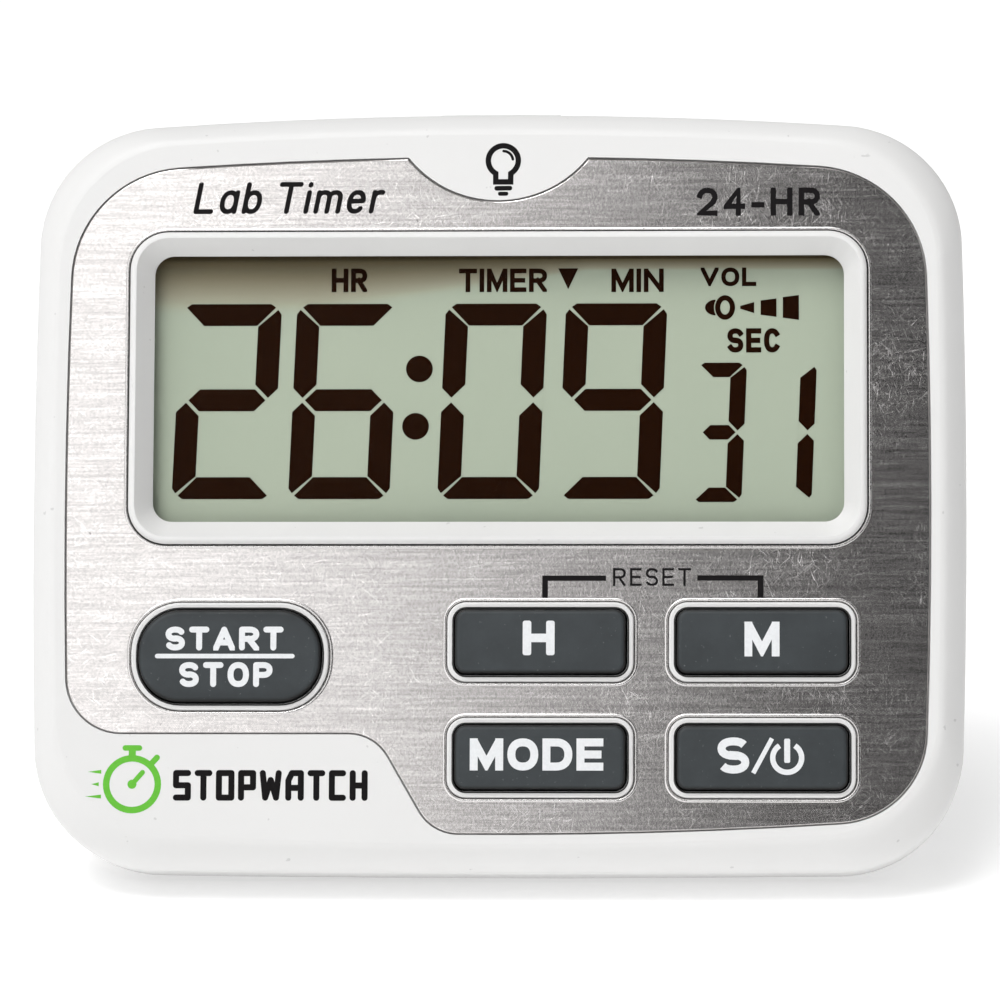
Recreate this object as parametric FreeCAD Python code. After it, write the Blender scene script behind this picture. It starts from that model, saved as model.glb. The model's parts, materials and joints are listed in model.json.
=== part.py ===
import FreeCAD, Part
import math
import os

os.makedirs("parts", exist_ok=True)
V = FreeCAD.Vector

# Digital kitchen and lab timer, millimetres.
# It is drawn upright (X right, Y from the face into the case, Z up, face at Y = 0)
# and leaned back on its open kickstand at the end.

# ---- driving dimensions ----
HALF_W = 47.6          # half the case width
TOP_Z = 77.85          # highest point of the crowned top edge
DEPTH = 24.0           # face to back
SPLIT_Y = 11.5         # parting plane of the two case halves
CORNER_R = 12.6        # outer corner radius
FACE_R = 12.2          # corner radius of the flat face
# shoulder profile as (depth, inset): a quick turn at the face, then a slow one to the side
SHOULDER = [(0.0, 2.75), (0.05, 2.42), (0.22, 2.08), (0.55, 1.72), (1.1, 1.25),
            (1.9, 0.72), (2.8, 0.31), (3.7, 0.08), (4.5, 0.01), (5.3, 0.0), (6.1, 0.0)]
WALL = 2.2             # side wall
PANEL_Y = 2.1          # inner surface of the front panel
BACK_WALL = 1.8
CROWN_R = 530.0        # bow of the top edges
SIDE_R = 900.0         # bow of the side edges
BASE_R = 2600.0        # bow of the bottom silhouette
LEAN = 20.0            # backward lean when standing
FOOT_LIFT = 4.2        # rise of the slanted underside at the back
RECESS_Y = 0.65        # faceplate seat
PLATE_T = 0.5
PLATE_FRONT = 0.05

PLATE_HW = 43.8
PLATE_TOP = 72.75
PLATE_LOW = 3.8
NOTCH_R = 11.8
NOTCH_Z = 80.05
STEP_Z = 13.95
STEP_X = -14.9
STEP_R = 4.6
STEP_ANGLE = 60.0

WIN_HW = 35.15         # display window opening
WIN_Z = (35.6, 62.95)
WIN_R = 2.0
RIM_HW = 37.45         # raised display frame
RIM_Z = (33.15, 65.1)
RIM_R = 3.9
RIM_FRONT = -0.75

KEY_TRAVEL = 1.0
KEY_GAP = 0.2
COLLAR_W = 0.6
COLLAR_FRONT = -0.4
KEYS = {               # centre x, centre z, opening width, opening height, corner radius
    "key_start_stop": (-26.95, 21.7, 18.8, 9.7, 4.4),
    "key_hour": (4.47, 23.18, 17.6, 6.85, 1.3),
    "key_minute": (26.85, 23.18, 17.6, 6.85, 1.3),
    "key_mode": (4.47, 11.47, 17.6, 6.85, 1.3),
    "key_second_power": (26.85, 11.47, 17.6, 6.85, 1.3),
}

BOARD_Y = (7.6, 8.8)
SCREW_XZ = [(-39.5, 9.0), (39.5, 9.0), (-39.5, 69.5), (39.5, 69.5)]
BOARD_SCREW_XZ = [(-41.2, 26.0), (41.2, 26.0), (-41.2, 60.0), (41.2, 60.0)]

HINGE_Y = 22.85        # kickstand hinge
HINGE_Z = 43.0
STAND_L = 38.0
STAND_HW = 22.0
STAND_T = 2.0
HEEL = 2.2

CELL_R = 5.25
CELL_L = 44.5
CELL_Y = 16.6
CELL_Z = (54.2, 65.3)
BAY_HW = 25.6
BAY_Z = (48.2, 71.4)
BAY_FLOOR = 11.2
DOOR_HW = 26.0
DOOR_AXIS = (23.1, 48.85)
DOOR_TOP = 71.6

VOL_X, VOL_Z = -36.5, 20.0
SOUND_X, SOUND_Z = 35.8, 20.0
MAGNET_X, MAGNET_Z = 36.5, 40.0

parts = {}


# ---- helpers ----
def box(x0, x1, y0, y1, z0, z1):
    return Part.makeBox(x1 - x0, y1 - y0, z1 - z0, V(x0, y0, z0))


def rod(p, d, r, length):
    return Part.makeCylinder(r, length, V(*p), V(*d))


def pocket(cx, cz, w, h, y0, y1, r):
    """Rounded rectangle in XZ, from y0 to y1."""
    s = box(cx - w / 2, cx + w / 2, y0, y1, cz - h / 2, cz + h / 2)
    if r <= 0:
        return s
    along = [e for e in s.Edges if abs(e.tangentAt(e.FirstParameter).y) > 0.99]
    return s.makeFillet(min(r, w / 2 - 0.01, h / 2 - 0.01), along)


def meet(c1, d1, c2, d2, side):
    """Where circles about c1 and c2 cross, on the side given by a direction."""
    dx, dz = c2[0] - c1[0], c2[1] - c1[1]
    d = math.hypot(dx, dz)
    a = (d1 * d1 - d2 * d2 + d * d) / (2 * d)
    h = math.sqrt(d1 * d1 - a * a)
    mx, mz = c1[0] + a * dx / d, c1[1] + a * dz / d
    options = [(mx - h * dz / d, mz + h * dx / d), (mx + h * dz / d, mz - h * dx / d)]
    return max(options, key=lambda p: p[0] * side[0] + p[1] * side[1])


def toward(c, p, r):
    d = math.hypot(p[0] - c[0], p[1] - c[1])
    return (c[0] + (p[0] - c[0]) * r / d, c[1] + (p[1] - c[1]) * r / d)


def bowed_wire(hw, zb, zt, base_r, crown_r, side_r, corner, y):
    """Rounded rectangle whose four sides bulge; corner = (br, tr, tl, bl)."""
    zm = (zb + zt) / 2
    rings = [((0, zb + base_r), base_r), ((hw - side_r, zm), side_r),
             ((0, zt - crown_r), crown_r), ((side_r - hw, zm), side_r)]
    sides = [(1, -1), (1, 1), (-1, 1), (-1, -1)]
    touch = []
    for i in range(4):
        (ca, ra), (cb, rb) = rings[i], rings[(i + 1) % 4]
        r = corner[i]
        c = meet(ca, ra - r, cb, rb - r, sides[i])
        mid = toward(c, (c[0] + sides[i][0], c[1] + sides[i][1]), r)
        touch.append((toward(ca, c, ra), mid, toward(cb, c, rb)))
    mids = [(0, zb), (hw, zm), (0, zt), (-hw, zm)]
    edges = []
    for i in range(4):
        start, stop = touch[i - 1][2], touch[i][0]
        for a, m, b in ((start, mids[i], stop), touch[i]):
            edges.append(Part.Arc(V(a[0], y, a[1]), V(m[0], y, m[1]), V(b[0], y, b[1])).toShape())
    return Part.Wire(edges)


def case_wire(inset, y):
    t = min(1.0, inset / SHOULDER[0][1]) if y < SPLIT_Y else 0.0
    base = 1.0 / ((1 - t) / BASE_R + t / 560.0)
    r = CORNER_R + (FACE_R - CORNER_R) * t - (inset if y >= SPLIT_Y else 0.0)
    return bowed_wire(HALF_W - inset, inset, TOP_Z - inset, base, CROWN_R, SIDE_R, (r,) * 4, y)


def inner_prism(inset, y0, y1):
    r = CORNER_R - inset
    w = bowed_wire(HALF_W - inset, inset, TOP_Z - inset, BASE_R, CROWN_R, SIDE_R, (r,) * 4, y0)
    return Part.Face(w).extrude(V(0, y1 - y0, 0))


def plate_outline(grow, y0, y1):
    """Faceplate shape, grown outwards by a margin."""
    w = bowed_wire(PLATE_HW + grow, PLATE_LOW - grow, PLATE_TOP + grow, 540.0, 516.0, 700.0,
                   (9.2 + grow, 11.6 + grow, 11.6 + grow, 3.0), y0)
    body = Part.Face(w).extrude(V(0, y1 - y0, 0))
    body = body.cut(rod((0, y0, NOTCH_Z), (0, 1, 0), NOTCH_R - grow, y1 - y0))
    a = math.radians(STEP_ANGLE)
    r1, r2 = STEP_R - grow, STEP_R + grow
    c1 = (STEP_X, STEP_Z - STEP_R)
    zb = PLATE_LOW - grow + 0.01
    c2z = PLATE_LOW + 0.01 + STEP_R
    # the two arcs share a common tangent sloping down at the step angle
    p1 = (c1[0] + r1 * math.sin(a), c1[1] + r1 * math.cos(a))
    run = ((STEP_Z - c2z + STEP_R) - 2 * STEP_R * (1 - math.cos(a))) / math.tan(a)
    c2 = (STEP_X + 2 * STEP_R * math.sin(a) + run, c2z)
    p2 = (c2[0] - r2 * math.sin(a), c2[1] - r2 * math.cos(a))
    m1 = (c1[0] + r1 * math.sin(a / 2), c1[1] + r1 * math.cos(a / 2))
    m2 = (c2[0] - r2 * math.sin(a / 2), c2[1] - r2 * math.cos(a / 2))

    def at(p):
        return V(p[0], y0, p[1])
    # material stays above and to the right of this line
    low = [(-70, c1[1] + r1), (c1[0], c1[1] + r1)]
    edges = [Part.LineSegment(at(low[0]), at(low[1])).toShape(),
             Part.Arc(at(low[1]), at(m1), at(p1)).toShape(),
             Part.LineSegment(at(p1), at(p2)).toShape(),
             Part.Arc(at(p2), at(m2), at((c2[0], c2[1] - r2))).toShape()]
    end = (c2[0], c2[1] - r2)
    tail = [end, (c2[0], zb - 9), (-70, zb - 9), low[0]]
    for p, q in zip(tail, tail[1:]):
        edges.append(Part.LineSegment(at(p), at(q)).toShape())
    step = Part.Face(Part.Wire(edges)).extrude(V(0, y1 - y0, 0))
    body = body.cut(step)
    corner = [e for e in body.Edges if abs(e.tangentAt(e.FirstParameter).y) > 0.99
              and e.CenterOfMass.x < -PLATE_HW + 1.6 and abs(e.CenterOfMass.z - STEP_Z) < 1.0]
    return body.makeFillet(5.6 + grow, corner)


def front_edges(shape, y):
    return [e for e in shape.Edges if abs(e.BoundBox.YMin - y) < 1e-4 and abs(e.BoundBox.YMax - y) < 1e-4]


def openings(margin, y0, y1):
    """Everything that passes through the faceplate: display frame and key collars."""
    cuts = [pocket(0, (RIM_Z[0] + RIM_Z[1]) / 2, 2 * RIM_HW + 2 * margin,
                   RIM_Z[1] - RIM_Z[0] + 2 * margin, y0, y1, RIM_R + margin)]
    for x, z, w, h, r in KEYS.values():
        g = COLLAR_W + margin
        cuts.append(pocket(x, z, w + 2 * g, h + 2 * g, y0, y1, r + g))
    return cuts


# ---- front case ----
outer = Part.makeLoft([case_wire(inset, y) for y, inset in SHOULDER], True, False)
outer = outer.fuse(inner_prism(0.0, SHOULDER[-1][0], SPLIT_Y))
front = outer.cut(inner_prism(WALL, PANEL_Y, SPLIT_Y + 1))
front = front.cut(plate_outline(0.13, -1, RECESS_Y))

rim_w, rim_h = 2 * RIM_HW, RIM_Z[1] - RIM_Z[0]
rim_mid = (RIM_Z[0] + RIM_Z[1]) / 2
win_mid = (WIN_Z[0] + WIN_Z[1]) / 2
rim = pocket(0, rim_mid, rim_w, rim_h, RIM_FRONT, RECESS_Y + 0.2, RIM_R)
rim = rim.makeFillet(0.55, front_edges(rim, RIM_FRONT))
front = front.fuse(rim)
for x, z, w, h, r in KEYS.values():
    collar = pocket(x, z, w + 2 * COLLAR_W, h + 2 * COLLAR_W, COLLAR_FRONT, RECESS_Y + 0.2, r + COLLAR_W)
    front = front.fuse(collar.makeFillet(0.22, front_edges(collar, COLLAR_FRONT)))


def round_rect_wire(cx, cz, w, h, r, y):
    s = pocket(cx, cz, w, h, y, y + 1, r)
    face = [f for f in s.Faces if abs(f.BoundBox.YMax - y) < 1e-5][0]
    return face.OuterWire


# the frame slopes inwards like a shallow funnel to the window
funnel = Part.makeLoft([
    round_rect_wire(0, rim_mid, rim_w - 1.3, rim_h - 1.3, RIM_R - 0.6, RIM_FRONT - 0.01),
    round_rect_wire(0, win_mid, 2 * WIN_HW, WIN_Z[1] - WIN_Z[0], WIN_R, 1.7)], True, True)
front = front.cut(funnel)
front = front.cut(pocket(0, win_mid, 2 * WIN_HW, WIN_Z[1] - WIN_Z[0], 1.6, PANEL_Y + 1, WIN_R))
for x, z, w, h, r in KEYS.values():
    front = front.cut(pocket(x, z, w, h, -3, PANEL_Y + 1, r))

# bosses for the case screws and standoffs for the board
for x, z in SCREW_XZ:
    front = front.fuse(rod((x, PANEL_Y - 0.3, z), (0, 1, 0), 3.1, SPLIT_Y - PANEL_Y + 0.3))
for x, z in BOARD_SCREW_XZ:
    front = front.fuse(rod((x, PANEL_Y - 0.3, z), (0, 1, 0), 1.9, BOARD_Y[0] - PANEL_Y + 0.3))
for x, z in SCREW_XZ:
    front = front.cut(rod((x, PANEL_Y + 1.0, z), (0, 1, 0), 1.15, 20))
for x, z in BOARD_SCREW_XZ:
    front = front.cut(rod((x, PANEL_Y + 1.2, z), (0, 1, 0), 0.85, 20))

# slot for the light button in the top wall
LIGHT_Y = 7.4
front = front.cut(box(-6.5, 6.5, LIGHT_Y - 2.2, LIGHT_Y + 2.2, 74, 80))
parts["front_case"] = front.removeSplitter()

# ---- faceplate and its adhesive ----
plate = plate_outline(0.0, PLATE_FRONT, PLATE_FRONT + PLATE_T)
for c in openings(0.1, -1, 2):
    plate = plate.cut(c)
plate = plate.makeFillet(0.16, front_edges(plate, PLATE_FRONT))
parts["faceplate"] = plate
glue = plate_outline(-0.4, PLATE_FRONT + PLATE_T, RECESS_Y)
for c in openings(0.5, -1, 2):
    glue = glue.cut(c)
parts["faceplate_adhesive"] = glue

# ---- display window and gasket ----
parts["window_gasket"] = pocket(0, win_mid, 75.0, 31.6, 2.1, 2.3, 2.5).cut(
    pocket(0, win_mid, 71.4, 28.4, 2, 3, 2.2))
parts["display_window"] = pocket(0, win_mid, 75.0, 31.6, 2.3, 3.3, 2.5)

# ---- display sandwich ----
parts["lcd_front_polarizer"] = box(-36.2, 36.2, 3.75, 3.95, 34.85, 64.25)
parts["lcd_front_glass"] = box(-37.0, 37.0, 3.95, 4.55, 32.2, 64.8)
parts["lcd_rear_glass"] = box(-37.0, 37.0, 4.55, 5.15, 34.8, 64.8)
parts["lcd_rear_polarizer"] = box(-36.4, 36.4, 5.15, 5.35, 35.2, 64.4)
parts["backlight_guide"] = box(-36.0, 36.0, 5.4, 6.9, 35.2, 64.4)
parts["backlight_reflector"] = box(-36.0, 36.0, 6.9, 7.1, 35.2, 64.4)
parts["backlight_leds"] = Part.makeCompound(
    [box(36.02, 36.95, 5.6, 7.6, z - 1.6, z + 1.6) for z in (42.0, 49.8, 57.6)])
holder = pocket(0, 48.9, 78.4, 35.4, 3.3, 7.6, 1.5)
holder = holder.cut(box(-37.1, 37.1, 3.75, 8, 32.1, 64.9))
holder = holder.cut(box(-36.3, 36.3, 3, 4, 34.7, 64.4))
parts["lcd_holder"] = holder
parts["zebra_strip"] = box(-34.0, 34.0, 4.55, 7.6, 32.5, 34.4)

# ---- main board ----
board = box(-42.8, 42.8, *BOARD_Y, 6.5, 66.0).fuse(box(-6.0, 6.0, *BOARD_Y, 65.0, 72.0))
for s in (-1, 1):
    board = board.cut(box(min(s * 35.6, s * 50), max(s * 35.6, s * 50), 7, 10, 0, 13.2))
for x, z in BOARD_SCREW_XZ:
    board = board.cut(rod((x, 7, z), (0, 1, 0), 0.95, 3))
parts["main_board"] = board.removeSplitter()
screws = []
for x, z in BOARD_SCREW_XZ:
    s = rod((x, 4.6, z), (0, 1, 0), 0.8, 4.2).fuse(rod((x, 8.8, z), (0, 1, 0), 1.6, 1.0))
    for a in (0, 90):
        bar = box(-1.1, 1.1, 9.3, 10.2, -0.22, 0.22)
        bar.rotate(V(0, 0, 0), V(0, 1, 0), a)
        bar.translate(V(x, 0, z))
        s = s.cut(bar)
    screws.append(s)
parts["board_screws"] = Part.makeCompound(screws)
dome = Part.makeSphere(12.0, V(0, 8.8 - 10.2, 24.0)).common(rod((0, 8.8, 24.0), (0, 1, 0), 9, 4))
parts["controller_blob"] = dome
parts["watch_crystal"] = rod((10.0, 9.85, 30.0), (0, 0, 1), 1.0, 6.0)
chips = []
for i in range(4):
    chips.append(box(-16 + 3.2 * i, -14.4 + 3.2 * i, 8.8, 9.4, 34.0, 35.2))
    chips.append(box(14.0, 15.2, 8.8, 9.4, 14.0 + 3.0 * i, 15.6 + 3.0 * i))
chips.append(box(-14.0, -11.0, 8.8, 10.0, 12.0, 14.6))
parts["chip_parts"] = Part.makeCompound(chips)

# ---- keypad mat, keys and pills ----
STEM = (0.74, 0.62)     # stem size as a share of the key opening
mat = pocket(0, 18.0, 77.0, 25.4, 6.6, 7.6, 1.5)
mat = mat.cut(box(-60, -35.4, 6, 8, 0, 13.4)).cut(box(35.4, 60, 6, 8, 0, 13.4))
for x, z, w, h, r in KEYS.values():
    mat = mat.cut(pocket(x, z, w * STEM[0] + 1.0, h * STEM[1] + 1.0, 6, 8, 1.6))
parts["keypad_mat"] = mat
for name, (x, z, w, h, r) in KEYS.items():
    kw, kh, kr = w - 2 * KEY_GAP, h - 2 * KEY_GAP, r - KEY_GAP
    head = pocket(x, z, kw, kh, -1.35, PANEL_Y + 0.1, kr)
    # the top is very slightly crowned, with a soft rolled edge
    crown = Part.makeCylinder(90.0, 60, V(x - 30, -1.25 + 90.0, z), V(1, 0, 0))
    head = head.common(crown)
    top = [e for e in head.Edges if e.BoundBox.YMax < 0 and e.BoundBox.YMin < -1.0]
    head = head.makeFillet(0.5, top)
    flange = pocket(x, z, w + 1.2, h + 1.6, PANEL_Y + 0.08, PANEL_Y + 0.9, r + 0.6)
    stem = pocket(x, z, w * STEM[0], h * STEM[1], PANEL_Y + 0.8, 6.0, 1.2)
    parts[name] = head.fuse(flange).fuse(stem).removeSplitter()
    parts[name.replace("key_", "pill_")] = pocket(x, z, 6.0, 3.2, 6.0, 6.35, 1.0)

# ---- light button and its switch ----
top_cut = Part.makeCylinder(CROWN_R, 40, V(0, -10, TOP_Z + 0.35 - CROWN_R), V(0, 1, 0))
cap = box(-6.3, 6.3, LIGHT_Y - 2.0, LIGHT_Y + 2.0, TOP_Z - 3.0, 79.5).common(top_cut)
rim_top = [e for e in cap.Edges if e.BoundBox.ZMin > 78.0]
cap = cap.makeFillet(0.35, rim_top)
flange = box(-7.4, 7.4, LIGHT_Y - 2.5, LIGHT_Y + 2.5, TOP_Z - 3.2, TOP_Z - 2.4)
stem = box(-1.5, 1.5, 4.95, 6.6, 72.4, TOP_Z - 2.9)
parts["light_button"] = cap.fuse(flange).fuse(stem).removeSplitter()
parts["light_switch_body"] = box(-3.0, 3.0, 3.9, 7.6, 67.4, 71.0).cut(box(-1.3, 1.3, 5.0, 6.6, 69.4, 72))
parts["light_switch_plunger"] = box(-1.2, 1.2, 5.1, 6.5, 70.3, 72.4)

# ---- back case ----
BACK_IN, BACK_END_IN, BACK_ROUND = 0.45, 1.15, 3.5
y_r = DEPTH - BACK_ROUND
back = Part.makeLoft([case_wire(BACK_IN, SPLIT_Y), case_wire(BACK_END_IN, y_r)], True, True)
rounding = []
for k in (0.0, 0.3, 0.55, 0.76, 0.9, 0.97, 1.0):
    y = y_r + k * BACK_ROUND
    rounding.append(case_wire(BACK_END_IN + 2.6 * (1 - math.sqrt(1 - k * k)), y))
back = back.fuse(Part.makeLoft(rounding, True, False))


def above_slant(offset):
    """Space above a plane that is level when the timer leans back."""
    t = math.tan(math.radians(LEAN))
    z_at = FOOT_LIFT + offset / math.cos(math.radians(LEAN))
    pts = [(0, z_at - DEPTH * t), (60, z_at + (60 - DEPTH) * t), (60, 120), (0, 120)]
    wire = Part.makePolygon([V(-60, y, z) for y, z in pts + pts[:1]])
    return Part.Face(wire).extrude(V(120, 0, 0))


back = back.common(above_slant(0.0))
hollow = inner_prism(2.6, SPLIT_Y - 1, DEPTH - BACK_WALL).common(above_slant(2.0))
back = back.cut(hollow)
inside = inner_prism(1.6, SPLIT_Y, DEPTH - 1).common(above_slant(0.5))

# walls of the kickstand well, battery bay, screw bosses and magnet seats
adds = [box(-25.2, 25.2, 19.9, DEPTH - 1, 0, 46.4).common(inside),
        box(-BAY_HW - 1.2, BAY_HW + 1.2, BAY_FLOOR - 1.2, DEPTH - 1, BAY_Z[0] - 1.3, BAY_Z[1] + 1.5)]
for x, z in SCREW_XZ:
    adds.append(rod((x, SPLIT_Y, z), (0, 1, 0), 4.1, DEPTH - 1 - SPLIT_Y).common(inside))
for s in (-1, 1):
    adds.append(rod((s * MAGNET_X, 20.9, MAGNET_Z), (0, 1, 0), 7.2, 2.0))
for a in adds:
    back = back.fuse(a)

# kickstand well, open at the bottom, with a deeper slot that stops the heel
WELL_FLOOR = 21.55
phi_reach = (-HINGE_Y * math.sin(math.radians(LEAN)) + HINGE_Z * math.cos(math.radians(LEAN))
             + DEPTH * math.sin(math.radians(LEAN)) - FOOT_LIFT * math.cos(math.radians(LEAN)))
TIP_R = STAND_T / 2
PHI = LEAN + math.degrees(math.acos((phi_reach - TIP_R + 0.1) / (STAND_L - TIP_R)))
phi = math.radians(PHI)
well = box(-STAND_HW - 0.4, STAND_HW + 0.4, WELL_FLOOR, 30, -5, HINGE_Z + HEEL + 0.5)
well = well.fuse(box(-STAND_HW - 0.4, STAND_HW + 0.4, HINGE_Y - HEEL * math.sin(phi)
                     - TIP_R * math.cos(phi) - 0.03, 30, HINGE_Z - 0.9, HINGE_Z + HEEL + 0.5))
back = back.cut(well)
back = back.cut(rod((-STAND_HW - 1.9, HINGE_Y, HINGE_Z), (1, 0, 0), 0.96, 2 * STAND_HW + 3.8))

# battery bay and door opening
back = back.cut(box(-BAY_HW, BAY_HW, BAY_FLOOR, DEPTH - 1, *BAY_Z))
back = back.cut(box(-DOOR_HW - 0.2, DOOR_HW + 0.2, 22.25, 30, 47.85, DOOR_TOP + 0.2))
back = back.cut(rod((-DOOR_HW - 1.3, *DOOR_AXIS), (1, 0, 0), 0.66, 2 * DOOR_HW + 2.6))
scoop = Part.makeSphere(7.0, V(0, DEPTH + 5.6, DOOR_TOP - 0.6))
back = back.cut(scoop.common(box(-9, 9, 20, 30, DOOR_TOP - 0.5, 80)))
for z in CELL_Z:
    back = back.cut(rod((BAY_HW - 0.5, 14.0, z - 2.6), (1, 0, 0), 0.9, 3))

# screw holes and counterbores, magnet seats, sound holes, volume slot
SEAT_Y = 15.0
for x, z in SCREW_XZ:
    back = back.cut(rod((x, SEAT_Y, z), (0, 1, 0), 2.9, 20)).cut(rod((x, 9, z), (0, 1, 0), 1.3, 20))
for s in (-1, 1):
    back = back.cut(rod((s * MAGNET_X, 22.4, MAGNET_Z), (0, 1, 0), 6.05, 5))
for k in range(7):
    a = math.radians(60 * k)
    d = 0.0 if k == 6 else 3.0
    p = (SOUND_X + d * math.cos(a), 20, SOUND_Z + d * math.sin(a))
    back = back.cut(rod(p, (0, 1, 0), 0.7, 6))
back = back.cut(pocket(VOL_X, VOL_Z, 5.6, 10.6, DEPTH - 0.8, 30, 0.8))
back = back.cut(box(VOL_X - 1.25, VOL_X + 1.25, 20, 30, VOL_Z - 3.4, VOL_Z + 3.4))
parts["back_case"] = back.removeSplitter()

# ---- case screws, magnets, sounder, volume switch ----
screws = []
for x, z in SCREW_XZ:
    s = rod((x, 4.2, z), (0, 1, 0), 1.1, SEAT_Y - 4.2 + 0.1).fuse(rod((x, SEAT_Y, z), (0, 1, 0), 2.5, 1.6))
    for a in (0, 90):
        bar = box(-1.5, 1.5, SEAT_Y + 0.7, SEAT_Y + 2, -0.3, 0.3)
        bar.rotate(V(0, 0, 0), V(0, 1, 0), a + 20)
        bar.translate(V(x, 0, z))
        s = s.cut(bar)
    screws.append(s)
parts["case_screws"] = Part.makeCompound(screws)
for s, side in ((-1, "magnet_left"), (1, "magnet_right")):
    disc = rod((s * MAGNET_X, 22.4, MAGNET_Z), (0, 1, 0), 6.0, 1.5)
    parts[side] = disc.makeChamfer(0.25, front_edges(disc, 23.9))
parts["sounder_disc"] = rod((SOUND_X, 21.94, SOUND_Z), (0, 1, 0), 7.0, 0.26)
parts["sounder_ceramic"] = rod((SOUND_X, 21.7, SOUND_Z), (0, 1, 0), 5.0, 0.24)
sw = box(VOL_X - 2.2, VOL_X + 2.2, 8.8, 12.3, VOL_Z - 5.0, VOL_Z + 5.0)
parts["volume_switch_body"] = sw.cut(box(VOL_X - 0.8, VOL_X + 0.8, 10.7, 13, VOL_Z - 3.3, VOL_Z + 3.3))
parts["volume_switch_lever"] = box(VOL_X - 0.6, VOL_X + 0.6, 11.0, 14.2, VOL_Z - 0.9, VOL_Z + 0.9)
knob = pocket(VOL_X, VOL_Z, 5.0, 5.4, DEPTH - 0.75, DEPTH + 0.5, 0.6)
for k in (-1.4, 0.0, 1.4):
    knob = knob.cut(box(VOL_X - 3, VOL_X + 3, DEPTH + 0.2, DEPTH + 1, VOL_Z + k - 0.25, VOL_Z + k + 0.25))
knob = knob.fuse(box(VOL_X - 1.0, VOL_X + 1.0, 14.2, DEPTH - 0.7, VOL_Z - 1.1, VOL_Z + 1.1))
parts["volume_knob"] = knob.removeSplitter()

# ---- kickstand ----
plate = box(-STAND_HW, STAND_HW, HINGE_Y - TIP_R, HINGE_Y + TIP_R, HINGE_Z - STAND_L + TIP_R, HINGE_Z + HEEL)
side = [e for e in plate.Edges if abs(e.tangentAt(e.FirstParameter).y) > 0.99
        and e.CenterOfMass.z > HINGE_Z]
plate = plate.makeFillet(0.6, side)
plate = plate.fuse(rod((-STAND_HW, HINGE_Y, HINGE_Z - STAND_L + TIP_R), (1, 0, 0), TIP_R, 2 * STAND_HW))
plate = plate.cut(pocket(0, HINGE_Z - 17, 26.0, 15.0, 20, 30, 3.0))
for k in range(3):
    plate = plate.cut(rod((-7, HINGE_Y + TIP_R + 0.25, HINGE_Z - STAND_L + 5 + 2.2 * k), (1, 0, 0), 0.6, 14))
for s in (-1, 1):
    x0 = STAND_HW if s > 0 else -STAND_HW - 1.7
    plate = plate.fuse(rod((x0, HINGE_Y, HINGE_Z), (1, 0, 0), 0.9, 1.7))
plate.rotate(V(0, HINGE_Y, HINGE_Z), V(1, 0, 0), PHI)
plate = plate.common(above_slant(0.0))
parts["kickstand"] = plate.removeSplitter()

# ---- battery door ----
ay, az = DOOR_AXIS
door = box(-DOOR_HW, DOOR_HW, ay - 0.8, ay + 0.8, az, DOOR_TOP)
door = door.fuse(rod((-DOOR_HW, ay, az), (1, 0, 0), 0.8, 2 * DOOR_HW))
for s in (-1, 1):
    x0 = DOOR_HW if s > 0 else -DOOR_HW - 1.1
    door = door.fuse(rod((x0, ay, az), (1, 0, 0), 0.6, 1.1))
    door = door.cut(box(s * 6.0 - 0.35, s * 6.0 + 0.35, 20, 30, DOOR_TOP - 6.5, DOOR_TOP + 1))
for k in range(3):
    door = door.cut(rod((-4.5, ay + 1.15, DOOR_TOP - 2.2 - 1.5 * k), (1, 0, 0), 0.6, 9))
parts["battery_door"] = door.removeSplitter()

# ---- cells, contacts and wires ----
for i, (z, s) in enumerate(((CELL_Z[1], 1), (CELL_Z[0], -1))):
    tip = BAY_HW - 1.2
    can = rod((tip - 0.9 - (CELL_L - 0.9), CELL_Y, z), (1, 0, 0), CELL_R, CELL_L - 0.9)
    ring = [e for e in can.Edges if e.Curve.TypeId == "Part::GeomCircle"]
    can = can.makeFillet(0.5, ring)
    can = can.fuse(rod((tip - 1.0, CELL_Y, z), (1, 0, 0), 1.9, 1.0))
    if s < 0:
        can.rotate(V(0, CELL_Y, z), V(0, 1, 0), 180)
    parts["cell_%d" % (i + 1)] = can


def spring(x_wall, x_end, z):
    """Tapered wire coil standing on a contact plate, closed by a flat ring."""
    length = abs(x_end - x_wall)
    n = 3
    coil = Part.makeHelix(length / n, length - 0.7, 2.6, 3.0)
    section = Part.Wire(Part.Circle(V(2.6, 0, 0), V(0, 1, 0), 0.3).toShape())
    body = Part.Wire(coil.Edges).makePipeShell([section], True, True)
    body.rotate(V(0, 0, 0), V(0, 1, 0), 90 if x_end > x_wall else -90)
    body.translate(V(x_wall + (0.35 if x_end > x_wall else -0.35), CELL_Y, z))
    return body


def contact(x, zs):
    """Thin plate lying on the bay's end wall."""
    x0 = min(x, x - 0.4 * (1 if x > 0 else -1))
    z0, z1 = min(zs) - 4.2, max(zs) + 4.2
    return box(x0, x0 + 0.4, 12.0, 21.2, z0, z1)


end = BAY_HW
dimple = [rod((s * (end - 1.2) if s > 0 else -(end - 0.4), CELL_Y, z), (1, 0, 0), 2.2, 0.8)
          for s, z in ((1, CELL_Z[1]), (-1, CELL_Z[0]))]
parts["contact_positive"] = contact(end, (CELL_Z[1],)).fuse(dimple[0]).removeSplitter()
bridge_spring = spring(-(end - 0.4), -(end - 1.2) + (2 * (end - 1.2) - CELL_L), CELL_Z[1])
parts["contact_bridge"] = Part.makeCompound(
    [contact(-end, CELL_Z).fuse(dimple[1]).removeSplitter(), bridge_spring])
neg_spring = spring(end - 0.4, (end - 1.2) - (2 * (end - 1.2) - CELL_L), CELL_Z[0])
parts["contact_negative"] = Part.makeCompound([contact(end, (CELL_Z[0],)), neg_spring])


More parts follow.
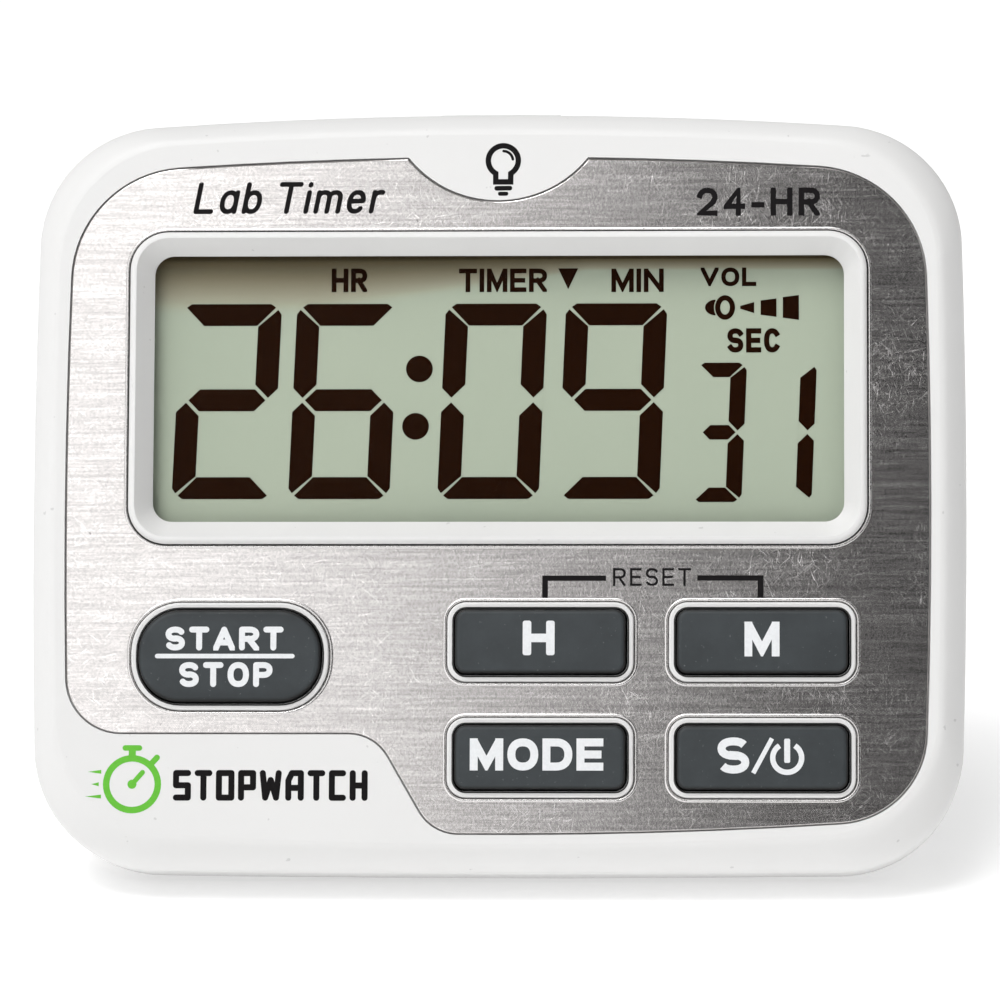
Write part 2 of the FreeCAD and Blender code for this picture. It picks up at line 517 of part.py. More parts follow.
def wire_run(points, r):
    """Insulated lead following a smooth path."""
    curve = Part.BSplineCurve()
    curve.interpolate([V(*p) for p in points])
    path = Part.Wire(curve.toShape())
    t = curve.tangent(curve.FirstParameter)[0]
    section = Part.Wire(Part.Circle(V(*points[0]), t, r).toShape())
    return path.makePipeShell([section], True, True)


parts["battery_lead_positive"] = wire_run(
    [(33.0, 9.2, 44.0), (33.5, 11.5, 48.0), (31.0, 14.0, 57.0), (28.2, 14.0, 62.3), (25.9, 14.0, 62.7)], 0.5)
parts["battery_lead_negative"] = wire_run(
    [(30.0, 9.2, 42.0), (30.0, 11.5, 45.0), (29.6, 14.0, 49.5), (28.0, 14.0, 51.4), (25.9, 14.0, 51.6)], 0.5)
parts["sounder_leads"] = Part.makeCompound(
    [wire_run([(24.0, 9.2, 18.0 + 3 * k), (26.0, 12.0, 18.0 + 3 * k), (29.5, 17.0, 19.0 + 1.5 * k),
               (30.4 + 1.2 * k, 21.3 - 0.2 * k, 19.5 + 1.2 * k)], 0.4) for k in (0, 1)])

# ---- lean the whole timer back onto its kickstand ----
lift = DEPTH * math.sin(math.radians(LEAN)) - FOOT_LIFT * math.cos(math.radians(LEAN))
span = FreeCAD.BoundBox()
for name in parts:
    parts[name].rotate(V(0, 0, 0), V(1, 0, 0), -LEAN)
    parts[name].translate(V(0, 0, lift))
    span.add(parts[name].optimalBoundingBox(False))
shift = round(-(span.YMin + span.YMax) / 2, 3)
for name, shape in parts.items():
    shape.translate(V(0, shift, 0))
    shape.exportStep("parts/%s.step" % name)
    good = shape.isValid() and shape.Volume > 0
    print("%-24s solids %d faces %3d vol %10.3f %s" % (
        name, len(shape.Solids), len(shape.Faces), shape.Volume, "ok" if good else "BAD"))
print("nodes", len(parts), "shift", shift, "lift", round(lift, 4), "phi", round(PHI, 4))
print("span", span)
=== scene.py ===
import bpy
import bmesh
import json
import math
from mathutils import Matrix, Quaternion, Vector
from mathutils.geometry import delaunay_2d_cdt


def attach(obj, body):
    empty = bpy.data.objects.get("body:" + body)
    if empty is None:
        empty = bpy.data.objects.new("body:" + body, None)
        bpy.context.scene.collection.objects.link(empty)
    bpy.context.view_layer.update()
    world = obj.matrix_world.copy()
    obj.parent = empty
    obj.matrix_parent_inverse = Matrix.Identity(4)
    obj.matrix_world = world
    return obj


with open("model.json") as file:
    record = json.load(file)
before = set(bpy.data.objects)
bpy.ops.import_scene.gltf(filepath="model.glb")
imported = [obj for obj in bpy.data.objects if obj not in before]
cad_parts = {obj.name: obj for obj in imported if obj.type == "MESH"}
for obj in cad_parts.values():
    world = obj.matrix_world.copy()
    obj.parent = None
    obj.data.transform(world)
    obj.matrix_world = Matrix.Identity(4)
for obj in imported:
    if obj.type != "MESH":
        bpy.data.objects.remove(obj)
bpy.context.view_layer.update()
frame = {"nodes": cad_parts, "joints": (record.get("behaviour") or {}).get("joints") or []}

# ---------------------------------------------------------------- frame
# Local axes of the timer: X right, Y from the face into the case, Z up along the face.
joints = {j["name"]: j for j in frame["joints"]}
AX = Vector((1, 0, 0))
AY = Vector(joints["key_hour_press"]["axis"]).normalized()
AZ = Vector(joints["volume_slide"]["axis"]).normalized()
HINGE_Y, HINGE_Z = 22.85, 43.0  # kickstand hinge in local millimetres
ORIGIN = Vector(joints["kickstand_hinge"]["pos_m"]) - AY * HINGE_Y / 1000 - AZ * HINGE_Z / 1000


def at(x, y, z):
    """Local millimetres to the row frame in metres."""
    return ORIGIN + AX * x / 1000 + AY * y / 1000 + AZ * z / 1000


def local_box(node):
    """Lowest and highest local corner of a CAD node, in millimetres."""
    co = [v.co - ORIGIN for v in frame["nodes"][node].data.vertices]
    lists = [[c.dot(a) * 1000 for c in co] for a in (AX, AY, AZ)]
    return Vector([min(v) for v in lists]), Vector([max(v) for v in lists])


# ---------------------------------------------------------------- shader helpers
class Nodes:
    """Small wrapper for building a node tree."""

    def __init__(self, name):
        self.mat = bpy.data.materials.new(name)
        self.mat.use_nodes = True
        self.tree = self.mat.node_tree
        self.bsdf = self.tree.nodes["Principled BSDF"]
        self.out = self.tree.nodes["Material Output"]
        self.coord = self.tree.nodes.new("ShaderNodeTexCoord").outputs["Object"]

    def new(self, kind, **props):
        n = self.tree.nodes.new("ShaderNode" + kind)
        for k, v in props.items():
            setattr(n, k, v)
        return n

    def link(self, a, b):
        self.tree.links.new(a, b)

    def set(self, **values):
        for k, v in values.items():
            self.bsdf.inputs[k.replace("_", " ")].default_value = v

    def stretch(self, scale, rotate=(0, 0, 0)):
        m = self.new("Mapping")
        m.inputs["Scale"].default_value = scale
        m.inputs["Rotation"].default_value = rotate
        self.link(self.coord, m.inputs["Vector"])
        return m.outputs[0]

    def noise(self, scale, detail=4.0, rough=0.5, vector=None):
        n = self.new("TexNoise")
        n.inputs["Scale"].default_value = scale
        n.inputs["Detail"].default_value = detail
        n.inputs["Roughness"].default_value = rough
        self.link(vector if vector is not None else self.coord, n.inputs["Vector"])
        return n.outputs["Fac"]

    def ramp(self, fac, stops):
        r = self.new("ValToRGB")
        e = r.color_ramp.elements
        while len(e) < len(stops):
            e.new(0.5)
        for el, (p, c) in zip(e, stops):
            el.position = p
            el.color = (c, c, c, 1) if isinstance(c, (int, float)) else (*c, 1)
        self.link(fac, r.inputs["Fac"])
        return r.outputs["Color"]

    def span(self, fac, lo, hi, a=0.0, b=1.0):
        m = self.new("MapRange")
        for k, v in (("From Min", a), ("From Max", b), ("To Min", lo), ("To Max", hi)):
            m.inputs[k].default_value = v
        self.link(fac, m.inputs["Value"])
        return m.outputs[0]

    def math(self, op, a, b):
        m = self.new("Math", operation=op)
        for i, v in enumerate((a, b)):
            if isinstance(v, (int, float)):
                m.inputs[i].default_value = v
            else:
                self.link(v, m.inputs[i])
        return m.outputs[0]

    def mix(self, fac, a, b):
        m = self.new("Mix", data_type="RGBA")
        for key, v in (("Factor", fac), ("A", a), ("B", b)):
            sock = [s for s in m.inputs if s.name == key and s.enabled and
                    s.type == ("VALUE" if key == "Factor" else "RGBA")][0]
            if isinstance(v, (int, float)):
                sock.default_value = v
            elif isinstance(v, tuple):
                sock.default_value = (*v, 1)
            else:
                self.link(v, sock)
        return [s for s in m.outputs if s.type == "RGBA"][0]

    def bump(self, height, strength, distance, normal=None):
        b = self.new("Bump")
        b.inputs["Strength"].default_value = strength
        b.inputs["Distance"].default_value = distance
        self.link(height, b.inputs["Height"])
        if normal is not None:
            self.link(normal, b.inputs["Normal"])
        return b.outputs[0]

    def along(self, axis):
        """Distance in metres along a local axis from the local origin."""
        d = self.new("VectorMath", operation="SUBTRACT")
        self.link(self.coord, d.inputs[0])
        d.inputs[1].default_value = ORIGIN
        p = self.new("VectorMath", operation="DOT_PRODUCT")
        self.link(d.outputs[0], p.inputs[0])
        p.inputs[1].default_value = axis
        return p.outputs["Value"]

    def color(self, sock):
        self.link(sock, self.bsdf.inputs["Base Color"])

    def rough(self, sock):
        self.link(sock, self.bsdf.inputs["Roughness"])

    def normal(self, sock):
        self.link(sock, self.bsdf.inputs["Normal"])


def plastic(name, color, rough=0.4, grain=0.000012, spread=0.03, grain_scale=5200, specks=0.0):
    """Moulded plastic: mottled tone, uneven gloss and a fine orange-peel texture."""
    n = Nodes(name)
    tone = n.noise(35, 3, 0.6)
    dark = tuple(c * (1 - spread) for c in color)
    col = n.mix(n.span(tone, 0, 1, 0.3, 0.7), dark, color)
    if specks:
        spot = n.ramp(n.noise(900, 2, 0.5), [(0.0, 1.0), (0.745, 1.0), (0.765, 0.0)])
        col = n.mix(n.span(spot, specks, 0.0), col, tuple(c * 0.45 for c in color))
    n.color(col)
    n.rough(n.span(n.noise(180, 4, 0.6), rough - 0.06, rough + 0.06, 0.3, 0.7))
    n.normal(n.bump(n.noise(grain_scale, 3, 0.55), 0.6, grain))
    n.set(IOR=1.5)
    return n.mat


def metal(name, color, rough=0.3, grain=0.000006):
    """Bare metal with a fine even grain in its tone, gloss and surface."""
    n = Nodes(name)
    g = n.noise(2500, 3, 0.6)
    n.color(n.mix(g, tuple(c * 0.8 for c in color), color))
    n.rough(n.span(g, rough - 0.07, rough + 0.09, 0.25, 0.75))
    n.normal(n.bump(g, 0.6, grain))
    n.set(Metallic=1.0)
    return n.mat


def clear(name, tint, gloss=0.03, keep=0.97):
    """Thin clear sheet: lets light straight through and mirrors a little."""
    n = Nodes(name)
    t = n.new("BsdfTransparent")
    t.inputs["Color"].default_value = (*[c * keep for c in tint], 1)
    g = n.new("BsdfGlossy")
    g.inputs["Roughness"].default_value = gloss
    fres = n.new("Fresnel")
    fres.inputs["IOR"].default_value = 1.06
    mix = n.new("MixShader")
    smear = n.noise(60, 3, 0.6)
    n.link(n.span(smear, gloss, gloss + 0.05, 0.35, 0.7), g.inputs["Roughness"])
    n.link(fres.outputs[0], mix.inputs[0])
    n.link(t.outputs[0], mix.inputs[1])
    n.link(g.outputs[0], mix.inputs[2])
    n.link(mix.outputs[0], n.out.inputs["Surface"])
    return n.mat


# Families of hairline scratches: angle in the sheet in radians, and a shift of their noise.
SCRATCHES = ((0.72, 3.1), (-0.62, 7.7), (1.45, 1.9), (-1.1, 5.3), (0.2, 9.4))


def brushed_plate():
    """Brushed steel sheet: long grain along X, grit, hairline scratches and a few pits."""
    n = Nodes("steel_brushed")
    fine = n.noise(1.0, 4, 0.6, n.stretch((260, 5200, 5200)))
    long = n.noise(1.0, 4, 0.6, n.stretch((40, 2600, 2600)))
    grit = n.noise(3600, 3, 0.65)
    grain = n.math("ADD", n.math("MULTIPLY", fine, 0.55), n.math("MULTIPLY", long, 0.45))
    scratch = None
    for angle, shift in SCRATCHES:
        turned = n.new("Mapping")
        turned.inputs["Rotation"].default_value = (0, angle, 0)
        turned.inputs["Location"].default_value = (shift, shift * 0.7, shift * 0.3)
        n.link(n.coord, turned.inputs["Vector"])
        thin = n.new("Mapping")
        thin.inputs["Scale"].default_value = (300, 1500, 6500)
        n.link(turned.outputs[0], thin.inputs["Vector"])
        streak = n.span(n.noise(1.0, 3, 0.6, thin.outputs[0]), 0.0, 1.0, 0.60, 0.80)
        scratch = streak if scratch is None else n.math("MAXIMUM", scratch, streak)
    patch = n.span(n.noise(110, 4, 0.65), 0.12, 1.0, 0.38, 0.62)
    scratch = n.math("MULTIPLY", scratch, patch)
    pits = n.math("MULTIPLY", n.span(n.noise(1300, 2, 0.5), 0.0, 1.0, 0.74, 0.78),
                  n.span(n.noise(160, 2, 0.5, n.stretch((1, 1, 1), (0.3, 0.2, 0.1))), 0.0, 1.0, 0.5, 0.62))
    col = n.mix(n.span(grain, 0, 1, 0.34, 0.66), (0.48, 0.459, 0.453), (0.68, 0.657, 0.647))
    col = n.mix(n.span(grit, 0.42, 0.0, 0.36, 0.56), col, (0.34, 0.325, 0.32))
    col = n.mix(n.math("MULTIPLY", scratch, 0.7), col, (0.90, 0.885, 0.88))
    col = n.mix(n.math("MULTIPLY", pits, 0.85), col, (0.10, 0.085, 0.08))
    n.color(col)
    n.rough(n.math("ADD", n.span(grain, 0.14, 0.19, 0.3, 0.7), n.math("MULTIPLY", scratch, 0.11)))
    first = n.bump(grain, 0.5, 0.000005)
    second = n.bump(grit, 0.9, 0.000004, first)
    n.normal(n.bump(scratch, 0.4, 0.000005, second))
    n.set(Metallic=1.0, Anisotropic=1.0)
    # the grain runs along X, so highlights stretch up and down the sheet
    sway = n.new("TexNoise")
    sway.inputs["Scale"].default_value = 900
    n.link(n.coord, sway.inputs["Vector"])
    small = n.new("VectorMath", operation="MULTIPLY_ADD")
    small.inputs[1].default_value = (0.04, 0.0, 0.0)
    small.inputs[2].default_value = (AZ.x - 0.02, AZ.y, AZ.z)
    n.link(sway.outputs["Color"], small.inputs[0])
    n.link(small.outputs[0], n.bsdf.inputs["Tangent"])
    return n.mat


# Painted shadow of the frame on the display, in local metres: its top edge, its depth at the left and the right,
# and where those lie along X.
LCD_TOP = 0.06295
SHADE_DEPTH = (0.0060, 0.0014)
SHADE_SPAN = (-0.019, 0.009)


def lcd_ground():
    """Grey-green polariser, with a painted brown shadow under the top edge of its frame, deeper on the left."""
    n = Nodes("lcd_ground")
    depth = n.span(n.along(AX), *SHADE_DEPTH, *SHADE_SPAN)
    down = n.math("DIVIDE", n.math("SUBTRACT", LCD_TOP, n.along(AZ)), depth)
    tone = n.noise(40, 2, 0.5)
    green = n.mix(n.span(tone, 0, 1, 0.3, 0.7), (0.425, 0.474, 0.390), (0.450, 0.496, 0.408))
    # painted shadow of the frame: dark brown at the top edge, fading down into the green
    frame_shadow = n.ramp(down, [(0.00, (0.065, 0.047, 0.024)), (0.08, (0.150, 0.122, 0.072)),
                          (0.30, (0.240, 0.208, 0.138)), (0.60, (0.345, 0.322, 0.245)),
                          (0.82, (0.415, 0.415, 0.325)), (1.00, (0.437, 0.485, 0.399))])
    use = n.span(down, 0, 1, 0.75, 1.05)
    n.color(n.mix(use, frame_shadow, green))
    n.rough(n.span(n.noise(400, 3, 0.6), 0.36, 0.46, 0.3, 0.7))
    n.normal(n.bump(n.noise(2600, 2, 0.5), 0.15, 0.000001))
    n.set(Specular_IOR_Level=0.12)
    return n.mat


def ink(name, color, rough=0.5, worn=0.12, scale=3200, gloss=0.3):
    """Printed ink: a thin rough film with grainy tone."""
    n = Nodes(name)
    g = n.noise(scale, 4, 0.65)
    n.color(n.mix(n.span(g, 0, 1, 0.3, 0.7), tuple(c * (1 - worn) for c in color), color))
    n.rough(n.span(g, rough - 0.08, rough + 0.08, 0.3, 0.7))
    n.normal(n.bump(g, 0.4, 0.000006))
    n.set(Specular_IOR_Level=gloss)
    return n.mat


def rubber_key():
    """Dark grey rubber, a little dusty, with painted shade going black down the sides of the key."""
    n = Nodes("key_rubber")
    base = (0.035, 0.041, 0.0445)
    tone = n.noise(300, 4, 0.6)
    col = n.mix(n.span(tone, 0, 1, 0.3, 0.7), tuple(c * 0.86 for c in base), tuple(c * 1.1 for c in base))
    dust = n.ramp(n.noise(2600, 2, 0.5), [(0.0, 0.0), (0.70, 0.0), (0.78, 1.0)])
    col = n.mix(n.span(dust, 0.0, 0.45), col, (0.20, 0.21, 0.21))
    # painted shade: the sides of the key go black below its top
    painted_side_shade = n.span(n.along(AY), 0.0, 1.0, -0.00119, -0.00100)
    col = n.mix(painted_side_shade, col, (0.0035, 0.0038, 0.004))
    n.color(col)
    n.rough(n.span(n.noise(700, 4, 0.6), 0.46, 0.62, 0.3, 0.7))
    n.normal(n.bump(n.noise(6500, 4, 0.6), 0.7, 0.000014))
    n.set(Specular_IOR_Level=0.3)
    return n.mat


def board_green():
    """Green board with a faint grid of tracks."""
    n = Nodes("board_green")
    lines = n.new("TexBrick")
    lines.inputs["Scale"].default_value = 260
    lines.inputs["Mortar Size"].default_value = 0.06
    lines.inputs["Color1"].default_value = (0.018, 0.105, 0.045, 1)
    lines.inputs["Color2"].default_value = (0.022, 0.120, 0.052, 1)
    lines.inputs["Mortar"].default_value = (0.035, 0.175, 0.075, 1)
    n.link(n.coord, lines.inputs["Vector"])
    n.color(lines.outputs["Color"])
    n.rough(n.span(n.noise(900, 3, 0.6), 0.25, 0.4, 0.3, 0.7))
    n.normal(n.bump(n.noise(3000, 3, 0.6), 0.4, 0.000006))
    return n.mat


def cell_wrap():
    """Battery sleeve: dark body with a coppery band at each end."""
    n = Nodes("cell_wrap")
    sep = n.new("SeparateXYZ")
    n.link(n.coord, sep.inputs[0])
    copper, dark = (0.50, 0.24, 0.06), (0.018, 0.02, 0.026)
    band = n.ramp(n.span(sep.outputs[0], 0, 1, -0.03, 0.03),
                  [(0.0, copper), (0.2, copper), (0.205, dark), (0.795, dark), (0.80, copper), (1.0, copper)])
    n.color(n.mix(n.span(n.noise(500, 3, 0.6), 0.0, 0.15), band, (0.2, 0.2, 0.2)))
    n.rough(n.span(n.noise(600, 3, 0.6), 0.2, 0.34, 0.3, 0.7))
    n.normal(n.bump(n.noise(2500, 3, 0.6), 0.4, 0.000005))
    n.set(Metallic=0.55)
    return n.mat


WHITE = (0.700, 0.697, 0.691)
mats = {
    "white": plastic("abs_white", WHITE, 0.52, 0.000010, 0.02, 4200, 0.35),
    "plate": brushed_plate(),
    "lip": metal("steel_lip", (0.80, 0.78, 0.77), 0.26, 0.000003),
    "key": rubber_key(),
    "window": clear("window_clear", (0.985, 0.99, 0.98), 0.02, 0.985),
    "glass": clear("lcd_glass", (0.97, 0.985, 0.97), 0.03, 0.98),
    "lcd": lcd_ground(),
    "segment": ink("lcd_segment", (0.0150, 0.0036, 0.0004), 0.42, 0.2, 3000, 0.03),
    "print_dark": ink("print_dark", (0.011, 0.010, 0.0105), 0.5, 0.3, 3200, 0.04),
    "print_white": ink("print_white", (0.745, 0.76, 0.775), 0.5, 0.10),
    "print_green": ink("print_green", (0.120, 0.47, 0.035), 0.42, 0.12),
    "foam": plastic("foam_black", (0.012, 0.012, 0.012), 0.75, 0.00003),
    "film": plastic("adhesive_film", (0.62, 0.58, 0.45), 0.4),
    "guide": plastic("light_guide", (0.72, 0.78, 0.74), 0.2, 0.000004),
    "foil": metal("reflector_foil", (0.82, 0.84, 0.82), 0.2),
    "led": plastic("led_lens", (0.85, 0.80, 0.40), 0.2, 0.000004),
    "holder": plastic("holder_abs", (0.70, 0.70, 0.67), 0.42),
    "zebra": plastic("zebra_rubber", (0.35, 0.09, 0.10), 0.6),
    "board": board_green(),
    "zinc": metal("zinc_screw", (0.55, 0.55, 0.56), 0.32),
    "epoxy": plastic("epoxy_black", (0.012, 0.012, 0.012), 0.22, 0.00001),
    "can": metal("crystal_can", (0.76, 0.76, 0.77), 0.25),
    "chip": plastic("chip_black", (0.03, 0.027, 0.025), 0.5),
    "silicone": plastic("silicone_grey", (0.45, 0.46, 0.46), 0.55),
    "carbon": plastic("carbon_pill", (0.012, 0.012, 0.012), 0.5),
    "black": plastic("switch_black", (0.022, 0.022, 0.022), 0.42),
    "knob": plastic("knob_grey", (0.070, 0.074, 0.078), 0.45, 0.000016),
    "nickel": metal("nickel", (0.74, 0.72, 0.68), 0.2),
    "brass": metal("brass_disc", (0.78, 0.58, 0.26), 0.3),
    "ceramic": plastic("ceramic_white", (0.76, 0.74, 0.66), 0.55),
    "steel_can": metal("switch_can", (0.66, 0.66, 0.66), 0.3),
    "cell": cell_wrap(),
    "red": plastic("wire_red", (0.42, 0.02, 0.015), 0.35),
    "wire_black": plastic("wire_black", (0.015, 0.015, 0.015), 0.35),
}

by_node = {
    "front_case": "white", "back_case": "white", "battery_door": "white", "kickstand": "white",
    "light_button": "white", "faceplate": "plate", "faceplate_adhesive": "film",
    "window_gasket": "foam", "display_window": "window", "lcd_front_polarizer": "lcd",
    "lcd_front_glass": "glass", "lcd_rear_glass": "glass", "lcd_rear_polarizer": "lcd",
    "backlight_guide": "guide", "backlight_reflector": "foil", "backlight_leds": "led",
    "lcd_holder": "holder", "zebra_strip": "zebra", "main_board": "board", "board_screws": "zinc",
    "controller_blob": "epoxy", "watch_crystal": "can", "chip_parts": "chip",
    "keypad_mat": "silicone", "light_switch_body": "black", "light_switch_plunger": "black",
    "case_screws": "zinc", "magnet_left": "nickel", "magnet_right": "nickel",
    "sounder_disc": "brass", "sounder_ceramic": "ceramic", "volume_switch_body": "steel_can",
    "volume_switch_lever": "black", "volume_knob": "knob", "cell_1": "cell", "cell_2": "cell",
    "contact_positive": "nickel", "contact_bridge": "nickel", "contact_negative": "nickel",
    "battery_lead_positive": "red", "battery_lead_negative": "wire_black", "sounder_leads": "red",
}
for name, obj in frame["nodes"].items():
    key = by_node.get(name, "key" if name.startswith("key_") else "carbon")
    obj.data.materials.clear()
    obj.data.materials.append(mats[key])

# ---------------------------------------------------------------- flat artwork
def front_plane(y0):
    """Artwork plane parallel to the face, y0 mm into the case."""
    return lambda u, v, d: at(u, y0 + d, v)


def crowned_plane(y0, mid_z, radius=90.0):
    """Artwork surface that follows a key's crowned top."""
    return lambda u, v, d: at(u, y0 + (v - mid_z) ** 2 / (2 * radius) + d, v)


def back_plane(y0):
    """Artwork plane on the back, read from behind."""
    return lambda u, v, d: at(-u, y0 - d, v)


def piece(name, bm, mat, body):
    """Turn a bmesh into a named piece that rides on a body."""
    me = bpy.data.meshes.new(name)
    bm.to_mesh(me)
    bm.free()
    me.materials.append(mats[mat])
    ob = bpy.data.objects.new(name, me)
    bpy.context.scene.collection.objects.link(ob)
    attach(ob, body)


def ccw(loop):
    """The outline turned anticlockwise."""
    area = sum(loop[i - 1][0] * p[1] - p[0] * loop[i - 1][1] for i, p in enumerate(loop))
    return list(loop) if area > 0 else list(reversed(loop))


def inside(p, loop):
    """Whether a point is inside an outline."""
    odd = False
    for i, b in enumerate(loop):
        a = loop[i - 1]
        if (a[1] > p.y) != (b[1] > p.y) and p.x < a[0] + (b[0] - a[0]) * (p.y - a[1]) / (b[1] - a[1]):
            odd = not odd
    return odd


def art(name, loops, place, depth, mat, body):
    """Thin raised artwork: the outlines are merged into one region, then given a thickness."""
    verts, faces = [], []
    for loop in loops:
        loop = ccw(loop)
        faces.append(list(range(len(verts), len(verts) + len(loop))))
        verts += [Vector(p) for p in loop]
    co, _, tris = delaunay_2d_cdt(verts, [], faces, 0, 1e-5)[:3]
    bm = bmesh.new()
    made = [bm.verts.new((c[0], c[1], 0)) for c in co]
    spans = [(min(p[0] for p in l), max(p[0] for p in l), min(p[1] for p in l), max(p[1] for p in l), l)
             for l in loops]
    for tri in tris:
        mid = sum((co[i] for i in tri), Vector((0, 0))) / 3
        if any(a <= mid.x <= b and c <= mid.y <= d and inside(mid, l) for a, b, c, d, l in spans):
            bm.faces.new([made[i] for i in tri])
    bmesh.ops.delete(bm, geom=[v for v in bm.verts if not v.link_faces], context="VERTS")
    grown = bmesh.ops.extrude_face_region(bm, geom=list(bm.faces))
    low = {g for g in grown["geom"] if isinstance(g, bmesh.types.BMVert)}
    for v in bm.verts:
        v.co = place(v.co.x, v.co.y, depth if v in low else 0.0)
    bmesh.ops.recalc_face_normals(bm, faces=bm.faces)
    piece(name, bm, mat, body)


def ring(cx, cz, rx, rz=None, a0=0.0, a1=360.0, n=40, power=2.0):
    """Points along an ellipse or a squarer superellipse."""
    rz = rx if rz is None else rz
    pts = []
    for k in range(n + 1):
        c, s = math.cos(math.radians(a0 + (a1 - a0) * k / n)), math.sin(math.radians(a0 + (a1 - a0) * k / n))
        pts.append((cx + rx * math.copysign(abs(c) ** (2 / power), c),
                    cz + rz * math.copysign(abs(s) ** (2 / power), s)))
    return pts


def disc(cx, cz, r, n=32):
    return ring(cx, cz, r, n=n)[:-1]


def rect(x0, x1, z0, z1):
    return [(x0, z0), (x1, z0), (x1, z1), (x0, z1)]


def rounded(hw, hh, r, cx, cz, n=10):
    """Closed rounded rectangle path, from its half width and half height."""
    pts = []
    for sx, sz, a0 in ((1, 1, 0), (-1, 1, 90), (-1, -1, 180), (1, -1, 270)):
        pts += ring(cx + sx * (hw - r), cz + sz * (hh - r), r, a0=a0, a1=a0 + 90, n=n)
    return pts


def ribbon(points, width, closed=False, cap="round", joint="miter"):
    """Polygons covering a stroke of even width along points.

    The ends are cap "round", "flush" (square, half a width longer), "soft" (flush with eased corners) or "butt".
    """
    pts = [Vector(p) for p in points]
    n, h = len(pts), width / 2
    loops, side = [], []
    for i, p in enumerate(pts):
        a = pts[i - 1] if (i or closed) else None
        b = pts[(i + 1) % n] if (i < n - 1 or closed) else None
        d1 = (p - a).normalized() if a is not None else (b - p).normalized()
        d2 = (b - p).normalized() if b is not None else d1
        t = (d1 + d2).normalized() if (d1 + d2).length > 1e-6 else d1
        nrm = Vector((-t.y, t.x))
        half = h / max(0.45, nrm.dot(Vector((-d1.y, d1.x))))
        side.append((p + nrm * half, p - nrm * half))
    for i in range(n if closed else n - 1):
        p, q = pts[i], pts[(i + 1) % n]
        if joint == "round":
            d = (q - p).normalized()
            o = Vector((-d.y, d.x)) * h
            loops.append([tuple(p + o), tuple(q + o), tuple(q - o), tuple(p - o)])
            loops += [disc(*c, h, 16) for c in (p, q)]
        else:
            a, b = side[i], side[(i + 1) % n]
            loops.append([tuple(a[0]), tuple(b[0]), tuple(b[1]), tuple(a[1])])
    if not closed and cap == "flush":
        for p, q in ((pts[0], pts[1]), (pts[-1], pts[-2])):
            d = (p - q).normalized()
            o = Vector((-d.y, d.x)) * h
            loops.append([tuple(p + o + d * h), tuple(p - o + d * h), tuple(p - o), tuple(p + o)])
    elif not closed and cap != "butt":
        for p, q in ((pts[0], pts[1]), (pts[-1], pts[-2])):
            d = (p - q).normalized()
            o = Vector((-d.y, d.x))
            if cap == "round":
                loops.append([tuple(p + o * h * math.cos(math.pi * k / 10) + d * h * math.sin(math.pi * k / 10))
                              for k in range(11)])
            else:
                c = h * 0.45
                corner = ((h, 0.0), (h, h - c), (h - 0.3 * c, h - 0.3 * c), (h - c, h))
                loops.append([tuple(p + o * u + d * v) for u, v in corner] +
                             [tuple(p - o * u + d * v) for u, v in reversed(corner)])
    return loops


def clip(loop, x0, x1, z0, z1):
    """Convex outline cut to a rectangle."""
    for axis, keep, sign in ((0, x0, 1), (0, x1, -1), (1, z0, 1), (1, z1, -1)):
        out = []
        for i, p in enumerate(loop):
            q = loop[i - 1]
            pin, qin = sign * (p[axis] - keep) >= 0, sign * (q[axis] - keep) >= 0
            if pin != qin:
                t = (keep - q[axis]) / (p[axis] - q[axis])
                out.append((q[0] + (p[0] - q[0]) * t, q[1] + (p[1] - q[1]) * t))
            if pin:
                out.append(p)
        loop = out
        if not loop:
            return None
    return loop if len(loop) > 2 else None


